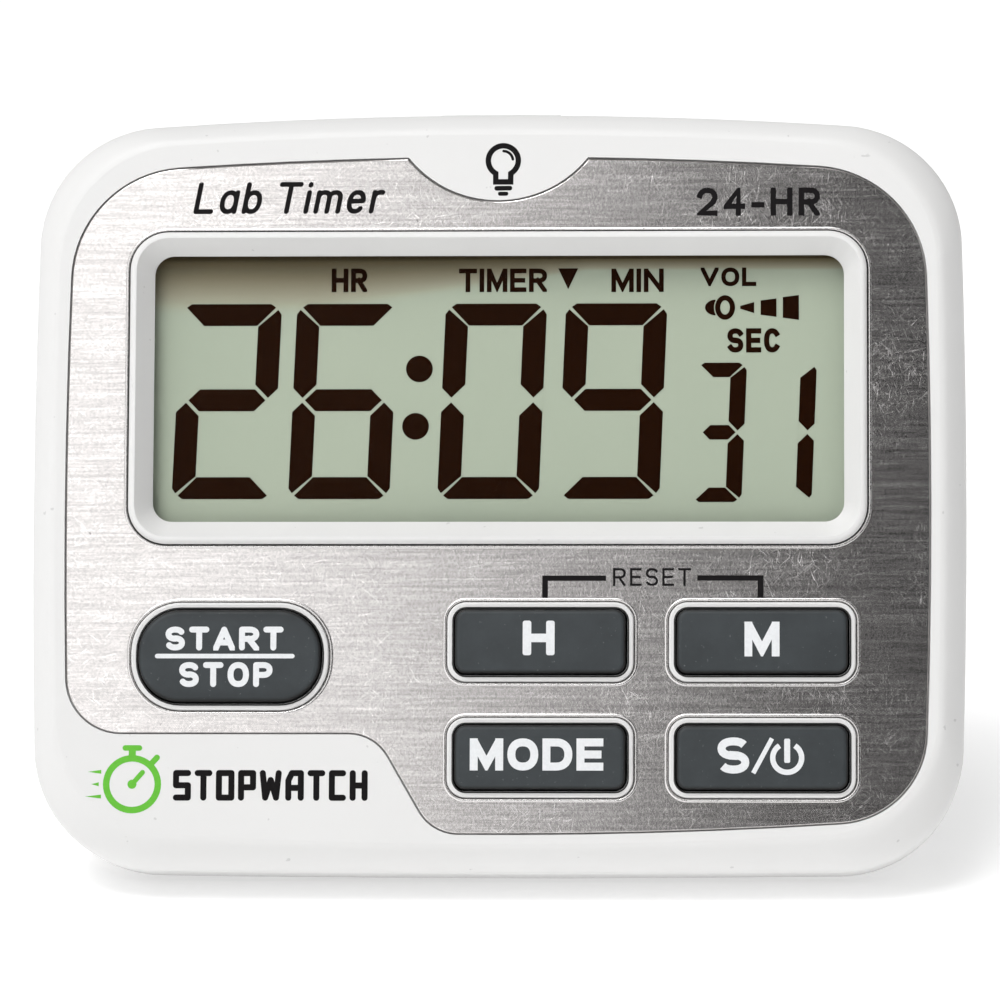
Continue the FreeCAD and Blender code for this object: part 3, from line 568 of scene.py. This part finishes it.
# Stroke letters: width against the height, then centre lines in a unit box.
S_LINE = ring(0.5, 0.745, 0.5, 0.255, 28, 270, 16, 2.2) + ring(0.5, 0.255, 0.5, 0.255, 90, -152, 16, 2.2)
BOWL = [(0, 1)] + ring(0.52, 0.74, 0.48, 0.26, 90, -90, 14, 2.3) + [(0, 0.48)]
X_H = 0.70
GLYPHS = {
    "A": (0.92, [[(-0.03, -0.06), (0.5, 1.0), (1.03, -0.06)], [(0.2, 0.28), (0.8, 0.28)]]),
    "C": (0.84, [ring(0.5, 0.5, 0.5, 0.5, 42, 318, 26, 2.3)]),
    "D": (0.86, [[(0, 0), (0, 1)] + ring(0.42, 0.5, 0.58, 0.5, 90, -90, 18, 2.3)[1:] + [(0, 0)]]),
    "E": (0.74, [[(1, 1), (0, 1), (0, 0), (1, 0)], [(0, 0.5), (0.9, 0.5)]]),
    "H": (0.88, [[(0, 0), (0, 1)], [(1, 0), (1, 1)], [(0, 0.5), (1, 0.5)]]),
    "I": (0.0, [[(0, 0), (0, 1)]]),
    "L": (0.66, [[(0, 1), (0, 0), (1, 0)]]),
    "M": (1.0, [[(0, 0), (0, 1)], [(1, 0), (1, 1)], [(-0.05, 1.16), (0.5, 0.10), (1.05, 1.16)]]),
    "N": (0.86, [[(0, 0), (0, 1)], [(1, 0), (1, 1)], [(-0.06, 1.09), (1.06, -0.09)]]),
    "O": (0.90, [ring(0.5, 0.5, 0.5, 0.5, 0, 360, 36, 2.25)[:-1] + ["loop"]]),
    "P": (0.78, [[(0, 0)] + BOWL]),
    "R": (0.84, [[(0, 0)] + BOWL, [(0.46, 0.50), (1.06, -0.10)]]),
    "S": (0.80, [S_LINE]),
    "T": (0.84, [[(0, 1), (1, 1)], [(0.5, 1), (0.5, 0)]]),
    "V": (0.90, [[(-0.05, 1.12), (0.5, 0.05), (1.05, 1.12)]]),
    "2": (0.80, [ring(0.5, 0.70, 0.5, 0.30, 168, -8, 16, 2.2) + [(0.86, 0.46), (0.04, 0.0), (1, 0.0)]]),
    "4": (0.86, [[(0.74, 0), (0.74, 1.02), (0, 0.30), (1, 0.30)]]),
    "-": (0.40, [[(0, 0.36), (1, 0.36)]]),
    "a": (0.60, [ring(0.5, 0.35, 0.5, 0.35, 0, 360, 28, 2.3)[:-1] + ["loop"], [(1, 0), (1, X_H)]]),
    "b": (0.60, [ring(0.5, 0.35, 0.5, 0.35, 0, 360, 28, 2.3)[:-1] + ["loop"], [(0, 0), (0, 1)]]),
    "e": (0.60, [[(0, 0.37)] + ring(0.5, 0.35, 0.5, 0.35, 4, 318, 26, 2.3)]),
    "i": (0.0, [[(0, 0), (0, X_H)], [(0, 0.97), (0, 1.0)]]),
    "m": (0.98, [[(0, 0), (0, X_H)], ring(0.25, 0.48, 0.25, 0.22, 180, 0, 12, 2.3) + [(0.5, 0)],
                 ring(0.75, 0.48, 0.25, 0.22, 180, 0, 12, 2.3) + [(1, 0)]]),
    "r": (0.36, [[(0, 0), (0, X_H)], ring(0.75, 0.42, 0.75, 0.28, 180, 75, 10, 2.3)]),
    " ": (0.20, []),
}
# Squarer letters with rounded joints for the word on the lower left.
SQUARE = {
    "S": (0.86, [[(1, 1), (0, 1), (0, 0.5), (1, 0.5), (1, 0), (0, 0)]]),
    "O": (0.90, [[(0, 0), (0, 1), (1, 1), (1, 0), "loop"]]),
    "P": (0.86, [[(0, 0), (0, 1), (1, 1), (1, 0.42), (0, 0.42)]]),
    "C": (0.80, [[(1, 1), (0, 1), (0, 0), (1, 0)]]),
    "W": (1.15, [[(0, 1), (0.16, 0), (0.5, 0.72), (0.84, 0), (1, 1)]]),
    "A": (0.90, [[(0, 0), (0, 0.7), (0.28, 1), (1, 1), (1, 0)], [(0, 0.40), (1, 0.40)]]),
    "T": (0.84, [[(0, 1), (1, 1)], [(0.5, 1), (0.5, 0)]]),
    "H": (0.86, [[(0, 0), (0, 1)], [(1, 0), (1, 1)], [(0, 0.5), (1, 0.5)]]),
}


def lettering(text, box, stroke, gap, cap="flush", joint="miter", slant=0.0, font=GLYPHS):
    """Stroke letters that fill a local box (x0, x1, z0, z1) with even stroke width."""
    x0, x1, z0, z1 = box
    high = z1 - z0
    lean = math.tan(math.radians(slant))
    room = (x1 - x0) - lean * high - gap * (len(text) - 1) - stroke * sum(1 for c in text if c != " ")
    unit = room / sum(font[c][0] for c in text)
    loops, x = [], x0
    for c in text:
        wide = font[c][0] * unit
        outer = wide + (stroke if c != " " else 0)
        for line in font[c][1]:
            closed = line[-1] == "loop"
            pts = [(x + stroke / 2 + u * wide, z0 + stroke / 2 + v * (high - stroke))
                   for u, v in (line[:-1] if closed else line)]
            for loop in ribbon(pts, stroke, closed, cap, joint):
                loop = clip(loop, x, x + outer, z0, z1)
                if loop:
                    loops.append([(px + (pz - z0) * lean, pz) for px, pz in loop])
        x += outer + gap
    return loops


# ---------------------------------------------------------------- display
lo, hi = local_box("display_window")
WIN_X, WIN_Z = (lo.x + hi.x) / 2, (lo.z + hi.z) / 2
LCD_FRONT = local_box("lcd_front_polarizer")[0].y
LCD_PLANE = front_plane(LCD_FRONT - 0.03)
SLANT = math.tan(math.radians(2.3))


def seven(digit, x, z, w, h, tv, th, mid, gap, cut):
    """Seven-segment polygons; x, z is the lower left corner before slanting.

    tv and th are the widths of the upright and flat segments, mid lifts the middle one, gap is the slit between
    neighbours and cut takes off the digit's outer corners.
    """
    zm = z + h / 2 + mid
    g = gap * 0.7071  # the slits run at 45 degrees
    c = cut * 0.42
    hm = th / 2

    def flat(zo, s):
        return [(x + c + g, zo - s * c), (x + cut + g, zo), (x + w - cut - g, zo), (x + w - c - g, zo - s * c),
                (x + w - tv - g * 0.4, zo - s * th), (x + tv + g * 0.4, zo - s * th)]

    def upright(left, s):
        xo, k = (x, 1) if left else (x + w, -1)
        zo = zm + s * (h / 2 - s * mid)
        return [(xo + k * c, zo - s * (c + g)), (xo, zo - s * (cut + g)), (xo, zm + s * (g + 0.42 * tv)),
                (xo + k * 0.42 * tv, zm + s * g), (xo + k * tv, zm + s * (g + 0.58 * tv)),
                (xo + k * tv, zo - s * (th + g * 0.4))]
    bar = [(x + 0.42 * tv + g, zm), (x + 0.42 * tv + g + hm, zm + hm), (x + w - 0.42 * tv - g - hm, zm + hm),
           (x + w - 0.42 * tv - g, zm), (x + w - 0.42 * tv - g - hm, zm - hm), (x + 0.42 * tv + g + hm, zm - hm)]
    table = {"a": flat(z + h, 1), "d": flat(z, -1), "g": bar, "f": upright(True, 1), "e": upright(True, -1),
             "b": upright(False, 1), "c": upright(False, -1)}
    lit = {"0": "abcdef", "1": "bc", "2": "abged", "3": "abgcd", "6": "afgedc", "9": "abcdfg"}[digit]
    return [[(px + (pz - z) * SLANT, pz) for px, pz in table[seg]] for seg in lit]


def lcd(name, loops):
    """Dark segments behind the window; the outlines are about the window's centre."""
    moved = [[(WIN_X + x, WIN_Z + z) for x, z in loop] for loop in loops]
    art("lcd_" + name, moved, LCD_PLANE, 0.04, "segment", "case")


BIG = dict(w=10.35, h=20.1, tv=2.35, th=2.25, mid=0.12, gap=0.34, cut=0.85)
for digit, x in (("2", -33.42), ("6", -21.50), ("0", -6.27), ("9", 6.02)):
    lcd("digit_" + digit, seven(digit, x, -11.10, **BIG))
SMALL = dict(w=5.10, h=14.3, tv=1.64, th=1.48, mid=0.0, gap=0.26, cut=0.60)
for digit, x in (("3", 19.62), ("1", 26.74)):
    lcd("small_" + digit, seven(digit, x, -11.43, **SMALL))
lcd("colon", [disc(-8.15, 2.28, 1.37), disc(-8.51, -3.63, 1.37)])
for name, text, x0, x1, z0, z1, stroke in (
        ("hr", "HR", -17.20, -13.55, 10.23, 12.66, 0.50), ("timer", "TIMER", -4.15, 4.86, 10.20, 12.62, 0.48),
        ("min", "MIN", 11.44, 16.79, 10.17, 12.59, 0.48), ("vol", "VOL", 20.56, 26.24, 10.76, 12.68, 0.44),
        ("sec", "SEC", 23.29, 28.70, 3.92, 6.41, 0.54)):
    lcd("word_" + name, lettering(text, (x0, x1, z0, z1), stroke, 0.27))
bars = [[(24.60, 8.42), (26.02, 7.98), (26.02, 9.11), (24.60, 8.72)],
        [(26.68, 7.80), (28.29, 7.59), (28.29, 9.48), (26.68, 9.28)],
        [(28.94, 7.50), (30.58, 7.27), (30.58, 9.83), (28.94, 9.62)]]
lcd("marks", [[(6.01, 12.63), (8.05, 12.63), (7.03, 10.47)]] + bars)
horn = ribbon(ring(23.05, 8.56, 0.755, 1.0, n=32)[:-1], 0.53, closed=True)
horn.append(ring(22.15, 8.56, 1.14, 0.82, 98, 262, 18) + ring(23.05, 8.56, 1.13, 1.38, 214, 146, 10))
lcd("speaker", horn)


# ---------------------------------------------------------------- key legends
def key_art(key, name, outlines):
    """White print on a key; the outlines are about the key's centre."""
    lo, hi = local_box(key)
    cx, cz = (lo.x + hi.x) / 2, (lo.z + hi.z) / 2
    loops = [[(cx + x, cz + z) for x, z in loop] for loop in outlines]
    art("legend_" + name, loops, crowned_plane(lo.y - 0.035, cz), 0.12, "print_white", key)


key_art("key_start_stop", "start", lettering("START", (-6.44, 5.51, 0.50, 2.92), 0.60, 0.42, "round", "round"))
key_art("key_start_stop", "stop", lettering("STOP", (-5.02, 4.43, -3.20, -0.68), 0.60, 0.42, "round", "round"))
key_art("key_start_stop", "bar", ribbon([(-7.26, -0.07), (6.42, -0.07)], 0.46))
key_art("key_hour", "hour", lettering("H", (-1.74, 1.48, -1.45, 2.05), 0.86, 0, "soft"))
key_art("key_minute", "minute", lettering("M", (-1.78, 1.74, -1.56, 1.95), 0.78, 0, "flush"))
key_art("key_mode", "mode", lettering("MODE", (-7.02, 6.42, -1.38, 1.86), 0.80, 0.42, "flush"))
key_art("key_second_power", "second", lettering("S", (-4.49, -1.30, -1.66, 1.98), 0.80, 0, "butt"))
key_art("key_second_power", "slash", ribbon([(-0.90, -1.62), (0.98, 1.88)], 0.46, cap="butt"))
power = ribbon(ring(2.50, -0.08, 1.45, a0=122, a1=418, n=36), 0.54, cap="butt")
key_art("key_second_power", "power", power + ribbon([(2.50, -0.28), (2.50, 1.56)], 0.60, cap="soft"))

# ---------------------------------------------------------------- printing on the faceplate and case
PLATE_Y = local_box("faceplate")[0].y
PLATE_PLANE = front_plane(PLATE_Y - 0.008)
CASE_PLANE = front_plane(-0.010)


def plate_art(name, loops):
    """Dark print on the faceplate."""
    art("print_" + name, loops, PLATE_PLANE, 0.02, "print_dark", "case")


plate_art("bracket_left", [rect(4.63, 11.08, 29.40, 29.94), rect(4.63, 5.21, 27.66, 29.41)])
plate_art("bracket_right", [rect(20.29, 26.98, 29.42, 29.96), rect(26.38, 26.98, 27.66, 29.43)])
plate_art("reset", lettering("RESET", (11.78, 19.66, 28.88, 30.70), 0.24, 0.42))
plate_art("title", lettering("Lab Timer", (-31.18, -11.3, 67.02, 70.31), 0.50, 0.52, "round", "round", 11))
plate_art("range", lettering("24-HR", (20.23, 32.72, 66.70, 69.60), 0.56, 0.62))

# pressed-up lip of the sheet around each cut-out: distance out from the edge and height, in mm
LIP = ((0.0, -0.12), (0.04, -0.02), (0.11, 0.035), (0.20, 0.045), (0.30, 0.02), (0.40, -0.012))


def lip(name, hw, hh, r, cx, cz):
    """Smooth rolled lip swept around a cut-out in the faceplate."""
    bm = bmesh.new()
    rows = []
    for out, up in LIP:
        path = rounded(hw + out, hh + out, r + out, cx, cz)
        rows.append([bm.verts.new(at(x, PLATE_Y - up, z)) for x, z in path])
    for a, b in zip(rows, rows[1:] + rows[:1]):
        for i in range(len(a)):
            j = (i + 1) % len(a)
            bm.faces.new((a[i], a[j], b[j], b[i]))
    bmesh.ops.recalc_face_normals(bm, faces=bm.faces)
    for f in bm.faces:
        f.smooth = True
    piece(name, bm, "lip", "case")


KEYS = ("key_start_stop", "key_hour", "key_minute", "key_mode", "key_second_power")
FLANGE = (1.2, 1.6)  # a key's hidden flange is this much wider and taller than the opening it shows through
COLLAR, GAP = 0.6, 0.1  # white collar around an opening, and the slit between the collar and the sheet
COLLAR_PLANE = front_plane(-0.41)


def key_opening(key):
    """Half width, half height, corner radius and centre of the opening for a key."""
    lo, hi = local_box(key)
    return ((hi.x - lo.x - FLANGE[0]) / 2, (hi.z - lo.z - FLANGE[1]) / 2, 4.4 if key == "key_start_stop" else 1.3,
            (lo.x + hi.x) / 2, (lo.z + hi.z) / 2)


for key in KEYS:
    hw, hh, r, cx, cz = key_opening(key)
    lip("lip_" + key, hw + COLLAR + GAP, hh + COLLAR + GAP, r + COLLAR + GAP, cx, cz)
# a dark line in the black foam material on each collar's inner edge, a touch to the right and down: the dark of
# the gap and a painted shadow of the key
for key in KEYS:
    hw, hh, r, cx, cz = key_opening(key)
    line = rounded(hw + 0.06, hh + 0.06, r + 0.06, cx + 0.03, cz - 0.04)
    art("gap_shadow_" + key, ribbon(line, 0.16, closed=True), COLLAR_PLANE, 0.05, "foam", "case")

# the lip around the display frame, and inside it a dark line in the black foam material, a painted shadow in the
# joint
RIM = (37.45 + GAP, 15.975 + GAP, 3.9 + GAP)  # half width, half height, corner
lip("lip_display", *RIM, 0.0, WIN_Z - 0.15)
seam = ribbon(rounded(RIM[0] - 0.03, RIM[1] - 0.03, RIM[2], -0.03, WIN_Z - 0.12), 0.17, closed=True)
art("seam_shadow_display", seam, front_plane(PLATE_Y - 0.02), 0.05, "foam", "case")

# light symbol on the white tab
bx, bz = 0.50, 72.45
outline = ring(bx, bz, 1.53, a0=-60, a1=240, n=40) + [(bx - 0.76, bz - 2.20), (bx + 0.76, bz - 2.20)]
icon = ribbon(outline, 0.56, closed=True) + ribbon(ring(bx, bz, 0.98, a0=8, a1=88, n=10), 0.28)
icon += ribbon([(bx - 0.66, bz - 2.86), (bx + 0.68, bz - 2.84)], 0.48)
icon += ribbon([(bx - 0.32, bz - 3.42), (bx + 0.32, bz - 3.42)], 0.42)
art("print_light_symbol", icon, CASE_PLANE, 0.03, "print_dark", "case")

# generic stopwatch mark and word on the white corner
cx, cz, r = -36.75, 8.75, 2.62
badge = ribbon(ring(cx, cz, r, n=44)[:-1], 0.66, closed=True)
badge += [rect(cx - 0.36, cx + 0.36, cz + r + 0.2, cz + r + 0.9)]
badge += ribbon([(cx - 0.72, cz + r + 1.05), (cx + 0.72, cz + r + 1.05)], 0.56)
badge += ribbon([(cx + 2.0, cz + 2.15), (cx + 2.5, cz + 2.7)], 0.60)
badge += ribbon([(cx, cz), (cx + 1.05, cz + 1.2)], 0.50) + [disc(cx, cz, 0.46)]
for k, tail in enumerate((1.35, 0.75, 1.6)):
    z = cz + 1.25 - 1.25 * k
    x = cx - math.sqrt(max(0.1, (r + 0.75) ** 2 - (z - cz) ** 2))
    badge.append([(x, z - 0.20), (x, z + 0.20), (x - tail, z)])
art("print_badge", badge, CASE_PLANE, 0.03, "print_green", "case")
word = lettering("STOPWATCH", (-32.6, -12.9, 7.10, 10.20), 0.62, 0.36, "round", "round", 0, SQUARE)
art("print_word", word, CASE_PLANE, 0.03, "print_dark", "case")

# raised marks on the back: loudness bars and a loudspeaker by the knob, an arrow on the battery door
BACK_PLANE = back_plane(local_box("back_case")[1].y + 0.10)
marks = [rect(40.1, 40.9, 15.6, 16.3), rect(40.1, 41.7, 19.65, 20.35), rect(40.1, 42.5, 23.7, 24.4)]
marks += [rect(34.9, 35.8, 28.0, 29.2), [(35.8, 28.0), (36.7, 27.2), (36.7, 30.0), (35.8, 29.2)]]
for radius, n in ((1.2, 10), (2.0, 14)):
    marks += ribbon(ring(36.5, 28.6, radius, a0=-42, a1=42, n=n), 0.28)
art("mark_volume", marks, BACK_PLANE, 0.14, "white", "case")
DOOR_PLANE = back_plane(local_box("battery_door")[1].y + 0.10)
art("mark_door", [[(-1.7, 62.9), (1.7, 62.9), (0.0, 60.4)]], DOOR_PLANE, 0.14, "white", "door")


# ---------------------------------------------------------------- stage, light and camera
def stage_material():
    """Pale floor that glows a little more with distance, so that it meets the white surround."""
    n = Nodes("floor_pale")
    n.color(n.mix(n.noise(3, 2, 0.5), (0.84, 0.84, 0.84), (0.86, 0.86, 0.86)))
    n.rough(n.span(n.noise(30, 3, 0.5), 0.55, 0.7))
    n.set(Emission_Color=(1, 1, 1, 1))
    away = n.new("VectorMath", operation="LENGTH")
    n.link(n.coord, away.inputs[0])
    n.link(n.span(away.outputs["Value"], 0.34, 0.64, 0.6, 1.8), n.bsdf.inputs["Emission Strength"])
    return n.mat


bm = bmesh.new()
bmesh.ops.create_circle(bm, cap_ends=True, segments=96, radius=6.0)
me = bpy.data.meshes.new("floor")
bm.to_mesh(me)
bm.free()
me.materials.append(stage_material())
floor = bpy.data.objects.new("floor", me)
bpy.context.scene.collection.objects.link(floor)

# Studio surround: bright on the left of the camera, dark on its right, and a mid grey room elsewhere.
world = bpy.data.worlds.new("studio")
bpy.context.scene.world = world
world.use_nodes = True
wt = world.node_tree


def wnode(kind, **props):
    n = wt.nodes.new("ShaderNode" + kind)
    for k, v in props.items():
        setattr(n, k, v)
    return n


LEFT, DARK, RIGHT, BEHIND = 1.50, 0.02, 0.42, 0.56
room = wt.nodes["Background"]
direction = wnode("TexCoord").outputs["Generated"]
parts = wnode("SeparateXYZ")
wt.links.new(direction, parts.inputs[0])
front = wnode("Math", operation="MULTIPLY")
front.inputs[1].default_value = -1.0
wt.links.new(parts.outputs[1], front.inputs[0])
turn = wnode("Math", operation="ARCTAN2")
wt.links.new(parts.outputs[0], turn.inputs[0])
wt.links.new(front.outputs[0], turn.inputs[1])
share = wnode("MapRange")
share.inputs["From Min"].default_value = -math.pi
share.inputs["From Max"].default_value = math.pi
wt.links.new(turn.outputs[0], share.inputs["Value"])
sweep = wnode("ValToRGB")
# brightness by azimuth in degrees, 0 straight in front of the timer and growing to the camera's right
stops = [(-180, BEHIND), (-80, 0.55), (-38, 0.78), (-26, LEFT), (-6.2, LEFT), (-3.9, 0.74 * LEFT),
         (-1.9, 0.26 * LEFT), (0.0, 0.06 * LEFT), (1.3, DARK), (24, DARK), (60, RIGHT), (120, BEHIND)]
PEAK = 2.0  # the ramp holds shares of this strength
ramp = sweep.color_ramp.elements
while len(ramp) < len(stops):
    ramp.new(0.5)
for el, (deg, v) in zip(ramp, stops):
    el.position = (deg + 180) / 360
    el.color = (v / PEAK, v / PEAK, v / PEAK, 1)
wt.links.new(share.outputs[0], sweep.inputs["Fac"])
wt.links.new(sweep.outputs["Color"], room.inputs["Color"])
room.inputs["Strength"].default_value = PEAK
seen = wnode("Background")  # the camera sees plain white
seen.inputs["Color"].default_value = (1, 1, 1, 1)
rays = wnode("LightPath")
mixer = wnode("MixShader")
wt.links.new(rays.outputs["Is Camera Ray"], mixer.inputs[0])
wt.links.new(room.outputs[0], mixer.inputs[1])
wt.links.new(seen.outputs[0], mixer.inputs[2])
wt.links.new(mixer.outputs[0], wt.nodes["World Output"].inputs["Surface"])

LAMP_TARGET = at(0, 8, 39)


def toward(azimuth, elevation):
    """Unit vector out to a direction in degrees; azimuth 0 is in front of the timer."""
    a, e = math.radians(azimuth), math.radians(elevation)
    return Vector((math.sin(a) * math.cos(e), -math.cos(a) * math.cos(e), math.sin(e)))


def softbox(name, azimuth, elevation, distance, width, height, watts):
    """Rectangular lamp that faces the timer, in metres."""
    li = bpy.data.lights.new(name, "AREA")
    li.shape = "RECTANGLE"
    li.size, li.size_y = width, height
    li.energy = watts
    ob = bpy.data.objects.new(name, li)
    d = toward(azimuth, elevation)
    ob.location = LAMP_TARGET + d * distance
    ob.rotation_euler = d.to_track_quat("Z", "Y").to_euler()
    bpy.context.scene.collection.objects.link(ob)


softbox("top", -36, 68, 1.4, 1.1, 0.9, 7.6)
softbox("key", -30, 60, 1.3, 0.6, 0.5, 5.2)

# camera: direction and roll in degrees, distance and aim point in metres, lens in millimetres
CAM_AZIMUTH, CAM_ELEVATION, CAM_ROLL = 2.631, 13.255, -0.643
CAM_DISTANCE, CAM_LENS = 0.650, 229.79
CAM_AIM = Vector((0.000156, -0.008, 0.038776))
cam = bpy.data.cameras.new("camera")
cam.lens = CAM_LENS
cam.sensor_width = 36
cam.clip_start, cam.clip_end = 0.01, 30
camera = bpy.data.objects.new("camera", cam)
back = toward(CAM_AZIMUTH, CAM_ELEVATION)
camera.location = CAM_AIM + back * CAM_DISTANCE
camera.rotation_mode = "QUATERNION"
camera.rotation_quaternion = back.to_track_quat("Z", "Y") @ Quaternion((0, 0, 1), math.radians(CAM_ROLL))
bpy.context.scene.collection.objects.link(camera)
bpy.context.scene.camera = camera
bpy.context.scene.view_settings.view_transform = "Standard"
